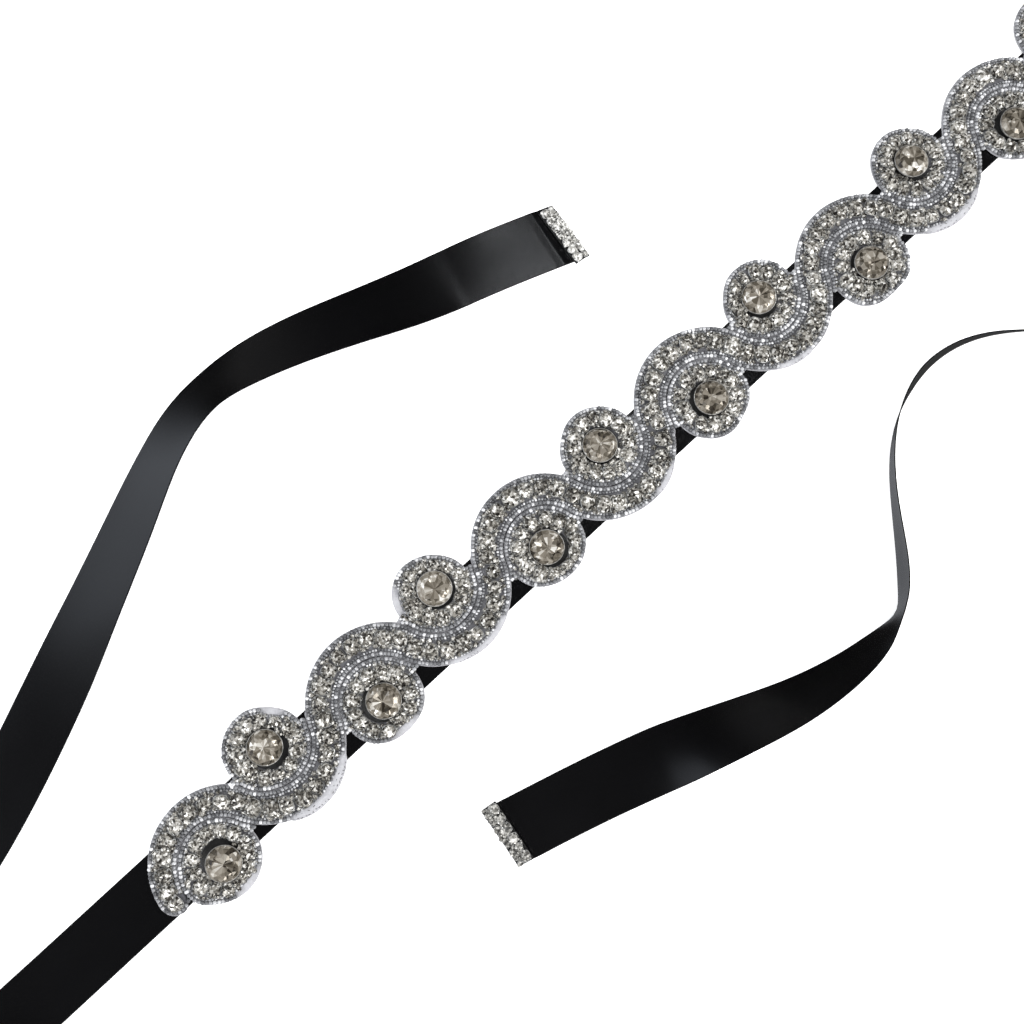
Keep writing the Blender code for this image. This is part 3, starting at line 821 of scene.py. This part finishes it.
def bead_string(xy, headings, lift, seed, size=BEAD_SIZE):
    """Beads that lie on the cloth's face, a lift over its base."""
    rng = np.random.default_rng(seed)
    n = len(xy)
    z = CLOTH_BASE + lift + size / 2.0 + rng.normal(0.0, 0.07, n)
    jitter = rng.normal(0.0, 0.06, (n, 2))
    places = np.concatenate([xy + jitter, z[:, None]], axis=1)
    turns = turns_of(headings + rng.normal(0.0, 0.10, n), rng.normal(0.0, 0.10, n), rng.uniform(0.0, FULL_TURN, n))
    sizes = size * (1.0 + rng.normal(0.0, 0.04, (n, 1))) * np.ones((1, 3))
    return copies(SMALL_BEAD if size == TINY_BEAD else BEAD, places, turns, sizes, seed + 1, facet_spread=0.1)


def make_vine_beads():
    parts = []
    cap = VINE_CAP
    fine = np.linspace(cap, vine_total - cap, VINE_SAMPLES)
    shift = outer_shift(fine)
    for index, (side, seed) in enumerate(((1.0, 51), (-1.0, 61))):
        reach = VINE_BEADS_AT + np.minimum(margins(fine)[index][0], 0.0)
        xy, headings, at = offset_places(vine, vine_run, side * reach, cap, vine_total - cap, BEAD_PITCH)
        keep = margins(at)[index][1] < 0.5
        parts.append(bead_string(xy[keep], headings[keep], 0.55, seed))
        reach = np.maximum(reach - 1.35, 3.7 + side * shift)
        xy, headings, at = offset_places(vine, vine_run, side * reach, cap, vine_total - cap, TINY_BEAD * 1.05)
        parts.append(bead_string(xy, headings, 0.5, seed + 5, TINY_BEAD))
    for end, seed in ((0, 71), (1, 75)):
        at = np.array([cap if end == 0 else vine_total - cap])
        place, normal = along(vine, vine_run, at)
        base = math.atan2(normal[0, 1], normal[0, 0])
        turn = 1.0 if end == 0 else -1.0
        angles = base + turn * np.radians(np.linspace(9.0, 171.0, 10))
        xy = place + polar(VINE_BEADS_AT, angles)
        parts.append(bead_string(xy, angles + math.pi / 2.0, 0.55, seed))
    return link_copies("vine_beads", parts, [BEADS])


def make_vine_stitches():
    """Dark stitches along the bare edges of the wave band."""
    rng = np.random.default_rng(91)
    fine = np.linspace(8.0, vine_total - 8.0, VINE_SAMPLES)
    parts = []
    for index, side in ((0, 1.0), (1, -1.0)):
        width = margins(fine)[index][0]
        for inset, pitch, seed in ((0.75, 1.5, 92), (2.2, 2.6, 95)):
            reach = side * (VINE_EDGE + width - inset)
            xy, headings, at = offset_places(vine, vine_run, reach, 8.0, vine_total - 8.0, pitch)
            keep = (margins(at)[index][1] > 0.75) & (rng.random(len(at)) < 0.85)
            n = int(keep.sum())
            if not n:
                continue
            beyond = np.abs(VINE_EDGE + np.interp(at[keep], fine, width) - inset)
            sunk = 0.14 if inset < 1.0 else 0.0
            z = CLOTH_BASE + 0.64 - np.clip(beyond - DROOP_FROM, 0.0, 9.0) * DROOP - sunk
            turns = turns_of(headings[keep] + rng.normal(0.0, 0.5, n), np.zeros(n), np.zeros(n))
            places = np.column_stack([xy[keep] + rng.normal(0.0, 0.12, (n, 2)), z])
            parts.append(copies(STITCH, places, turns, rng.uniform(0.6, 1.0, n), seed + index))
    return link_copies("vine_stitches", parts, [THREAD], 0.6)


def make_vine_stones():
    rng = np.random.default_rng(81)
    count = int(round(vine_total / STONE_PITCH / 2.0))
    at = vine_total * (np.arange(count) * 2 + 1) / (2.0 * count)
    at[0] += 1.6
    at[-1] -= 1.6
    place, normal = along(vine, vine_run, at)
    place = place + normal * (outer_shift(at) + rng.normal(0.0, 0.2, count))[:, None]
    z = CLOTH_BASE + 0.72 + rng.normal(0.0, 0.12, count)
    headings = np.arctan2(-normal[:, 0], normal[:, 1]) + rng.normal(0.0, 0.16, count)
    turns = leaning(rng, headings, 0.20)
    size = 1.0 + rng.normal(0.0, 0.06, count)
    sizes = VINE_STONE * np.stack([size * 0.93, size * rng.uniform(0.92, 1.08, count), size * 0.92], axis=1)
    parts = [chatons(place, z, turns, sizes, 82)]
    gaps = (at[:-1] + at[1:]) / 2.0
    for side in (-1.0, 1.0):
        n = len(gaps)
        spot, normal = along(vine, vine_run, gaps + rng.normal(0.0, 0.25, n))
        spot = spot + normal * (outer_shift(gaps) + side * (2.95 + rng.normal(0.0, 0.15, n)))[:, None]
        z = CLOTH_BASE + 0.62 + rng.normal(0.0, 0.1, n)
        turns = leaning(rng, rng.uniform(0.0, FULL_TURN, n), 0.2)
        parts.append(chatons(spot, z, turns, np.full(n, FILL_STONE), 84 + int(side)))
    n = int(vine_total * 1.5)
    at = rng.uniform(3.0, vine_total - 3.0, n)
    spot, normal = along(vine, vine_run, at)
    spot = spot + normal * (outer_shift(at) + rng.uniform(-3.5, 3.5, n))[:, None]
    parts.append(scatter(spot, place, 2.7, CLOTH_BASE + 2.1, 0.65, 1.15, 86))
    return link_copies("vine_stones", parts, [SMALL_STONE, CUP])


vine_cloth = make_vine_cloth()
vine_beads = make_vine_beads()
vine_stitches = make_vine_stitches()
vine_stones = make_vine_stones()
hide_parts("vine")


# Medallions

def angle_gap(a, b):
    return (a - b + 180.0) % 360.0 - 180.0


def make_medallion(k, row):
    name, _, cx, cy, shift, towards, bare_at, bare_half, stones, start = row
    rng = np.random.default_rng(200 + 7 * k)
    centre = np.array([cx, cy])
    off = shift * np.array([math.cos(math.radians(towards)), math.sin(math.radians(towards))])
    sides = 96
    degrees = 360.0 * np.arange(sides) / sides
    fray = wander(np.arange(sides), 5.0, 300 + k)
    fray = fray * np.clip(np.minimum(np.arange(sides), sides - np.arange(sides)) / 6.0, 0.0, 1.0)
    edge = outline(name, degrees) - 0.08 + 0.12 * fray

    def bare_of(angle):
        if not bare_half:
            return np.zeros(len(angle))
        return np.clip(1.3 - 1.3 * np.abs(angle_gap(angle, bare_at)) / bare_half, 0.0, 1.0)

    def inner_of(angle):
        return WELL + 2.1 * shift * ((1.0 + np.cos(np.radians(angle - towards))) / 2.0) ** 2

    bare = bare_of(degrees)
    inner = inner_of(degrees)
    # from the edge inwards or from the well outwards, distance, height over the cloth's base, lightness; the
    # lightness is painted shade, dark in the well, under the stones and at the turned-under edge, light on the
    # bare rim
    profile = (("well", -0.2, 0.30, 0.10), ("well", 0.4, 0.58, 0.12), ("mid", 0.0, 0.80, 0.16),
               ("edge", 2.6, 0.60, 0.12), ("edge", 2.0, 0.50, 0.42), ("edge", 1.05, 0.64, 0.52),
               ("edge", 0.4, 0.56, 0.66), ("edge", 0.0, 0.36, 0.80), ("edge", 0.05, 0.12, 0.6),
               ("edge", 0.35, -0.02, 0.3), ("well", -0.2, -0.02, 0.1))
    verts, shades = [], []
    for kind, distance, height, shade in profile:
        for i in range(sides):
            a = math.radians(degrees[i])
            r = {"well": inner[i] + distance, "mid": (inner[i] + edge[i]) / 2.0 - 0.8,
                 "edge": edge[i] - distance}[kind]
            verts.append((cx + r * math.cos(a), cy + r * math.sin(a), CLOTH_BASE + height))
            # bare arcs lose the painted shade and show the cloth's light colour
            shades.append(shade + (0.97 - shade) * bare[i] if kind == "edge" else shade)
    faces, tones = [], []
    rows = len(profile)
    for j in range(rows):
        for i in range(sides):
            a, b = j * sides + i, j * sides + (i + 1) % sides
            c, d = ((j + 1) % rows) * sides + (i + 1) % sides, ((j + 1) % rows) * sides + i
            faces.append((a, d, c, b))
            tones.append((shades[a] + shades[d]) / 2.0)
    quads = np.array(faces)
    radius = WELL + 1.05 * shift + 0.25
    well = rings_form(((radius, CLOTH_BASE + 0.02), (radius, CLOTH_BASE + 0.20)), 40, 1)
    shifted = well[0] + np.array([cx + off[0], cy + off[1], 0.0])
    start_at = len(verts)
    verts = np.concatenate([np.array(verts), shifted])
    slots = np.concatenate([np.zeros(len(quads)), well[2]])
    tones = np.concatenate([tones, np.full(len(well[1]), 0.2)])
    body = link("medallion_%s_cloth" % name, verts, [quads, well[1] + start_at], [CLOTH, FELT], slots, tones)
    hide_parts("medallion_" + name)

    def loop(radius_of, pitch, first):
        """Evenly spaced places on a closed line round the stone: angles, places and headings."""
        fine = np.linspace(0.0, 360.0, 721)
        r = radius_of(fine)
        line = polar(r, np.radians(fine))
        length = run_of(line)
        count = int(round(length[-1] / pitch)) if pitch > 0 else stones
        spots = (np.arange(count) * length[-1] / count + first * length[-1] / 360.0) % length[-1]
        angle = np.interp(spots, length, fine)
        return angle, centre + read_at(spots, length, line), np.radians(angle) + math.pi / 2.0

    parts = []
    angle, xy, headings = loop(lambda d: outline(name, d) - 1.0, BEAD_PITCH, start)
    keep = (np.abs(angle_gap(angle, bare_at)) > bare_half * 0.8) | (bare_half == 0.0)
    parts.append(bead_string(xy[keep], headings[keep], 0.52, 400 + 9 * k))
    _, xy, headings = loop(lambda d: outline(name, d) - 2.35 - 1.2 * bare_of(d), TINY_BEAD * 1.05, start)
    parts.append(bead_string(xy, headings, 0.5, 404 + 9 * k, TINY_BEAD))
    rim = link_copies("medallion_%s_beads" % name, parts, [BEADS])

    def limit_of(angle):
        return outline(name, angle) - 2.2 - 1.3 * bare_of(angle)

    angle, xy, headings = loop(lambda d: (inner_of(d) + limit_of(d)) / 2.0, 0.0, start)
    room = (limit_of(angle) - inner_of(angle)) / 2.0
    half = np.clip(room * 1.12, 1.7, 3.1)
    z = CLOTH_BASE + 0.66 + rng.normal(0.0, 0.16, stones)
    turns = leaning(rng, headings + rng.normal(0.0, 0.25, stones), 0.18)
    size = 1.0 + rng.normal(0.0, 0.07, stones)
    sizes = np.stack([RING_STONE * size, half * size, np.minimum(half, RING_STONE) * size], axis=1)
    parts = [chatons(xy, z, turns, sizes, 500 + k)]
    ring_at = xy
    for share, seed in ((0.93, 550), (0.12, 580)):
        angle, xy, _ = loop(lambda d: inner_of(d) + share * (limit_of(d) - inner_of(d)), 2.7, start + 7.0)
        n = len(angle)
        z = CLOTH_BASE + 0.5 + rng.normal(0.0, 0.1, n)
        turns = leaning(rng, rng.uniform(0.0, FULL_TURN, n), 0.25)
        sizes = FILL_STONE * rng.uniform(0.75, 1.15, n)
        xy = xy + rng.normal(0.0, 0.2, (n, 2))
        parts.append(chatons(xy, z, turns, sizes, seed + k))
    n = 110
    angle = rng.uniform(0.0, 360.0, n)
    share = rng.uniform(0.05, 0.95, n)
    r = inner_of(angle) + 0.3 + share * (limit_of(angle) - inner_of(angle) - 0.4)
    spots = centre + polar(r, np.radians(angle))
    parts.append(scatter(spots, ring_at, 2.15, CLOTH_BASE + 1.9, 0.6, 1.05, 620 + 3 * k))
    angle = 360.0 * (np.arange(26) + rng.uniform(0.1, 0.9, 26)) / 26.0
    angle = angle[np.cos(np.radians(angle - towards)) < 0.35]
    r = 7.75 + rng.normal(0.0, 0.15, len(angle))
    spots = centre + polar(r, np.radians(angle))
    parts.append(scatter(spots, ring_at, 1.2, CLOTH_BASE + 2.5, 0.65, 0.95, 660 + 3 * k))
    ring = link_copies("medallion_%s_stones" % name, parts, [SMALL_STONE, CUP])
    return body, rim, ring


def make_centre_stone(k, row):
    """Large round stone: a metal cup, a ring of crown facets and a table with the rays seen through it, its
    facets' colours painted glints and dark wedges of reflection.
    """
    name, _, cx, cy = row[:4]
    rng = np.random.default_rng(600 + 5 * k)
    cup = rings_form(((5.2, 2.2), (6.6, 3.2), (7.0, 4.2), (7.0, 4.55), (6.8, 4.7), (6.4, 4.5)), 32, METAL,
                     cap_high=False)
    sides = 18
    verts, faces = [], []
    lift = rng.normal(0.0, 0.10, sides)
    for radius, height, turn, uneven in ((6.75, 4.7, 0.0, 0.0), (5.55, 6.35, 0.5, 0.3), (4.1, 7.15, 0.0, 1.0)):
        for i in range(sides):
            a = 2.0 * math.pi * (i + turn) / sides
            pleat = (0.16 if i % 2 else -0.16) + lift[i]
            verts.append((radius * math.cos(a), radius * math.sin(a), height + uneven * pleat))
    verts.append((0.35 * math.cos(k), 0.35 * math.sin(k), 6.75))
    centre = len(verts) - 1
    for i in range(sides):
        j, before, top = (i + 1) % sides, (i - 1) % sides, 2 * sides
        faces += [(i, j, sides + i), (i, sides + i, sides + before), (sides + i, top + j, top + i),
                  (sides + before, sides + i, top + i), (top + i, top + j, centre)]
    faces = np.array(faces)
    stone = (np.array(verts), faces, np.full(len(faces), STONE), np.zeros(len(faces), dtype=bool))
    v, f, s, m = join_forms([cup, stone])
    turns = turns_of([0.37 * k], [abs(rng.normal(0.0, 0.07))], [rng.uniform(0.0, FULL_TURN)])
    v, f, s, m, t = copies((v - np.array([0.0, 0.0, 3.0]), f, s, m), [(cx, cy, 3.0)], turns, [1.0], 700 + k, 0.9)
    # painted reflection: upper_2's centre stone is painted brighter, the others a little darker
    t = np.clip(t + (0.30 if name == "upper_2" else -0.02), 0.0, 1.0)
    piece = link("centre_stone_" + name, v, [f], [CENTRE_STONE, DARK_CUP], s, t, m)
    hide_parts("stone_" + name)
    return piece


applied = [vine_cloth, vine_beads, vine_stitches, vine_stones]
for k, row in enumerate(MEDALLIONS):
    applied += make_medallion(k, row)
    applied.append(make_centre_stone(k, row))


# End trims

def make_trim(name, end, heading, units, seed, tone_and_painted_shade):
    """Scalloped band across the ribbon's end: set stones, a row of smaller ones and chips between."""
    rng = np.random.default_rng(seed)
    u = np.array([math.cos(heading), math.sin(heading)])
    v = np.array([-u[1], u[0]])
    end = np.array(end)
    width = TRIM_WIDTH
    pitch = width / units

    def place(back, aside, height):
        xy = end - u * back + v * aside
        return (xy[0], xy[1], height)

    middles = (np.arange(units) + 0.5) * pitch - width / 2.0
    places = [place(4.35 + rng.normal(0.0, 0.12), s, 1.42 + rng.normal(0.0, 0.08)) for s in middles]
    sizes = [pitch * rng.uniform(0.47, 0.53) for _ in middles]
    small = int(round(units * 1.6))
    across = (np.arange(small) + 0.5) * width / small - width / 2.0
    for s in across:
        places.append(place(1.35 + rng.normal(0.0, 0.2), s + rng.normal(0.0, 0.15), 1.42 + rng.normal(0.0, 0.1)))
        sizes.append(rng.uniform(1.05, 1.35))
    n = len(places)
    places = np.array(places)
    turns = leaning(rng, heading + rng.normal(0.0, 0.3, n), 0.2)
    parts = [chatons(places[:, :2], places[:, 2], turns, sizes, seed + 1)]
    n = 150
    spots = [place(b, a, 0.0)[:2] for b, a in zip(rng.uniform(0.3, 5.9, n), rng.uniform(-12.4, 12.4, n))]
    parts.append(scatter(np.array(spots), places[:, :2], 0.95, 2.55, 0.42, 0.80, seed + 3))
    points, faces, slots, smooth, tones = join_forms(parts)
    # painted shade: the right trim's tones are scaled down so it comes out darker than the left
    tones = tones * tone_and_painted_shade
    section = ((TRIM_DEPTH, 1.30), (TRIM_DEPTH, 1.42), (0.0, 1.42), (0.0, 1.30))
    bar = [place(back, s, height) for back, height in section for s in (-width / 2.0, width / 2.0)]
    base = len(points)
    quads = np.array([(0, 1, 3, 2), (2, 3, 5, 4), (4, 5, 7, 6), (6, 7, 1, 0), (0, 2, 4, 6), (1, 7, 5, 3)]) + base
    points = np.concatenate([points, np.array(bar)])
    slots = np.concatenate([slots, np.full(6, 2)])
    tones = np.concatenate([tones, np.full(6, 0.4)])
    smooth = np.concatenate([smooth, np.zeros(6, dtype=bool)])
    piece = link("end_trim_" + name, points, [faces, quads], [TRIM_STONE, BRIGHT_CUP, FELT], slots, tones, smooth)
    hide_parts("trim_" + name)
    return piece


left_heading = math.atan2(left[0, 1] - left[5, 1], left[0, 0] - left[5, 0]) - math.radians(LEFT_CUT)
right_heading = math.atan2(right[-1, 1] - right[-6, 1], right[-1, 0] - right[-6, 0]) - math.radians(RIGHT_CUT)
applied.append(make_trim("left", left[0, :2], left_heading, 7, 801, 1.0))
# the right trim gets half the tone, painted shade
applied.append(make_trim("right", right[-1, :2], right_heading, 6, 811, 0.50))


# Floor, light and camera

def make_floor():
    """Pale paper, with its far rim turned up so that no line shows where it ends."""
    mesh = bpy.data.meshes.new("floor")
    corners = ((-24, -24), (24, -24), (24, 24), (-24, 24))
    mesh.from_pydata([(x, y, z) for z in (0, 1.2) for x, y in corners], [],
                     [(0, 1, 2, 3)] + [(i, (i + 1) % 4, (i + 1) % 4 + 4, i + 4) for i in range(4)])
    floor = bpy.data.objects.new("floor", mesh)
    bpy.context.scene.collection.objects.link(floor)
    mat, tree, shader, where = new_material("paper", (0.90, 0.90, 0.90), 0.9)
    colour_by(tree, shader, noise(tree, where.outputs["Object"], 3.0, 2.0), ((0.3, 0.89), (0.7, 0.91)))
    mesh.materials.append(mat)
    shader.inputs["Emission Color"].default_value = (1.0, 1.0, 1.0, 1.0)
    shader.inputs["Emission Strength"].default_value = 0.45
    mesh.materials.append(new_material("paper_rim", (0.90, 0.90, 0.90), 0.9)[0])
    mesh.polygons.foreach_set("material_index", [0, 1, 1, 1, 1])
    floor.visible_glossy = False


def make_sky():
    """Pale low down and dark overhead and behind the sash, with a bright low side to the left."""
    world = bpy.data.worlds.new("studio")
    world.use_nodes = True
    tree = world.node_tree
    heading = tree.nodes.new("ShaderNodeTexCoord").outputs["Generated"]
    height = add(tree, "SeparateXYZ", {"Vector": heading}).outputs["Z"]

    def share(direction):
        """How far the heading points in a direction, from -1 to 1."""
        node = add(tree, "VectorMath", {0: heading, 1: tuple(direction)}, operation="DOT_PRODUCT")
        return node.outputs["Value"]

    def times(one, two):
        return mix(tree, "MULTIPLY", one, two)

    sky = ramp(tree, height, ((0.0, 0.42), (0.30, 0.28), (0.58, 0.06), (0.80, 0.045)))
    shade = ramp(tree, share(TOP * 0.90 + LEFT * 0.43), ((0.15, 1.0), (0.55, 0.12), (0.89, 0.12), (0.96, 0.55)))
    above = times(sky, shade)
    leftward, topward = share(LEFT), share(TOP)
    shifted = calc(tree, "MULTIPLY_ADD", topward, 0.5, 0.5)
    side = ramp(tree, leftward, ((0.36, 0.0), (0.50, 0.20), (0.62, 0.50), (0.86, 1.0)))
    band = ramp(tree, shifted, ((0.43, 0.5), (0.53, 1.0), (0.71, 1.0), (0.76, 0.3), (0.80, 0.0)))
    steep = calc(tree, "MULTIPLY", calc(tree, "ADD", height, topward), 0.5)
    band = times(band, ramp(tree, steep, ((0.49, 1.0), (0.57, 0.0))))
    glow = times(times(side, band), (1.12, 1.20, 1.34, 1.0))
    ahead = ramp(tree, shifted, ((0.585, (0.31, 0.32, 0.345)), (0.605, 0.02)))
    beside = ramp(tree, calc(tree, "MULTIPLY_ADD", leftward, 0.5, 0.5), ((0.27, 0.12), (0.35, 1.0)))
    ground = times(ahead, beside)
    both = mix(tree, "MIX", above, ground, calc(tree, "LESS_THAN", height, 0.0))
    tree.links.new(mix(tree, "ADD", both, glow), tree.nodes["Background"].inputs["Color"])
    bpy.context.scene.world = world


def hang(name, data, place, aim, mirrored=True):
    lamp = bpy.data.objects.new(name, data)
    lamp.location = place
    lamp.rotation_mode = "QUATERNION"
    lamp.rotation_quaternion = (Vector(aim) - Vector(place)).to_track_quat("-Z", "Y")
    lamp.visible_camera = False
    lamp.visible_glossy = mirrored
    bpy.context.scene.collection.objects.link(lamp)


def area_light(name, place, aim, size, watts, mirrored=True):
    data = bpy.data.lights.new(name, "AREA")
    data.shape = "RECTANGLE"
    data.size, data.size_y = size
    data.energy = watts
    hang(name, data, place, aim, mirrored)


def spot_light(name, place, aim, radius, watts, colour):
    """Round soft lamp in a narrow hood."""
    data = bpy.data.lights.new(name, "SPOT")
    data.shadow_soft_size = radius
    data.spot_size = math.radians(10.0)
    data.spot_blend = 0.6
    data.energy = watts
    data.color = colour
    hang(name, data, place, aim)


def make_camera():
    ahead = np.cross(CAMERA_UP, CAMERA_RIGHT)
    back = -ahead / np.linalg.norm(ahead)
    across = np.array(CAMERA_RIGHT) / np.linalg.norm(CAMERA_RIGHT)
    up = np.cross(back, across)
    data = bpy.data.cameras.new("camera")
    data.sensor_width = 36.0
    data.lens = CAMERA_LENS
    data.clip_start = 0.01
    camera = bpy.data.objects.new("camera", data)
    rows = zip(across, up, back, (c * MM for c in CAMERA_PLACE))
    camera.matrix_world = Matrix([*rows, (0.0, 0.0, 0.0, 1.0)])
    bpy.context.scene.collection.objects.link(camera)
    bpy.context.scene.camera = camera


LEFT = Vector((-0.735, 0.678, 0.0))
RIGHT = -LEFT
TOP = Vector((0.676, 0.737, 0.0))
make_floor()
make_sky()
area_light("softbox", (0.0, 0.0, 1.1), (0.0, 0.0, 0.0), (2.8, 2.8), 62.0, mirrored=False)
spot_light("ceiling", LEFT * -0.12 + TOP * 0.47 + Vector((0.0, 0.0, 1.5)), (0.051, 0.082, 0.0), 0.078, 4.0,
           (0.93, 0.96, 1.0))
area_light("side", RIGHT * 1.3 + Vector((0.0, 0.0, 0.9)), (0.0, 0.0, 0.0), (0.7, 0.5), 9.0)
area_light("low", RIGHT * 0.3 - TOP * 1.3 + Vector((0.0, 0.0, 0.9)), (0.0, 0.0, 0.0), (0.7, 0.5), 9.0)
make_camera()
bpy.context.scene.view_settings.view_transform = "Standard"
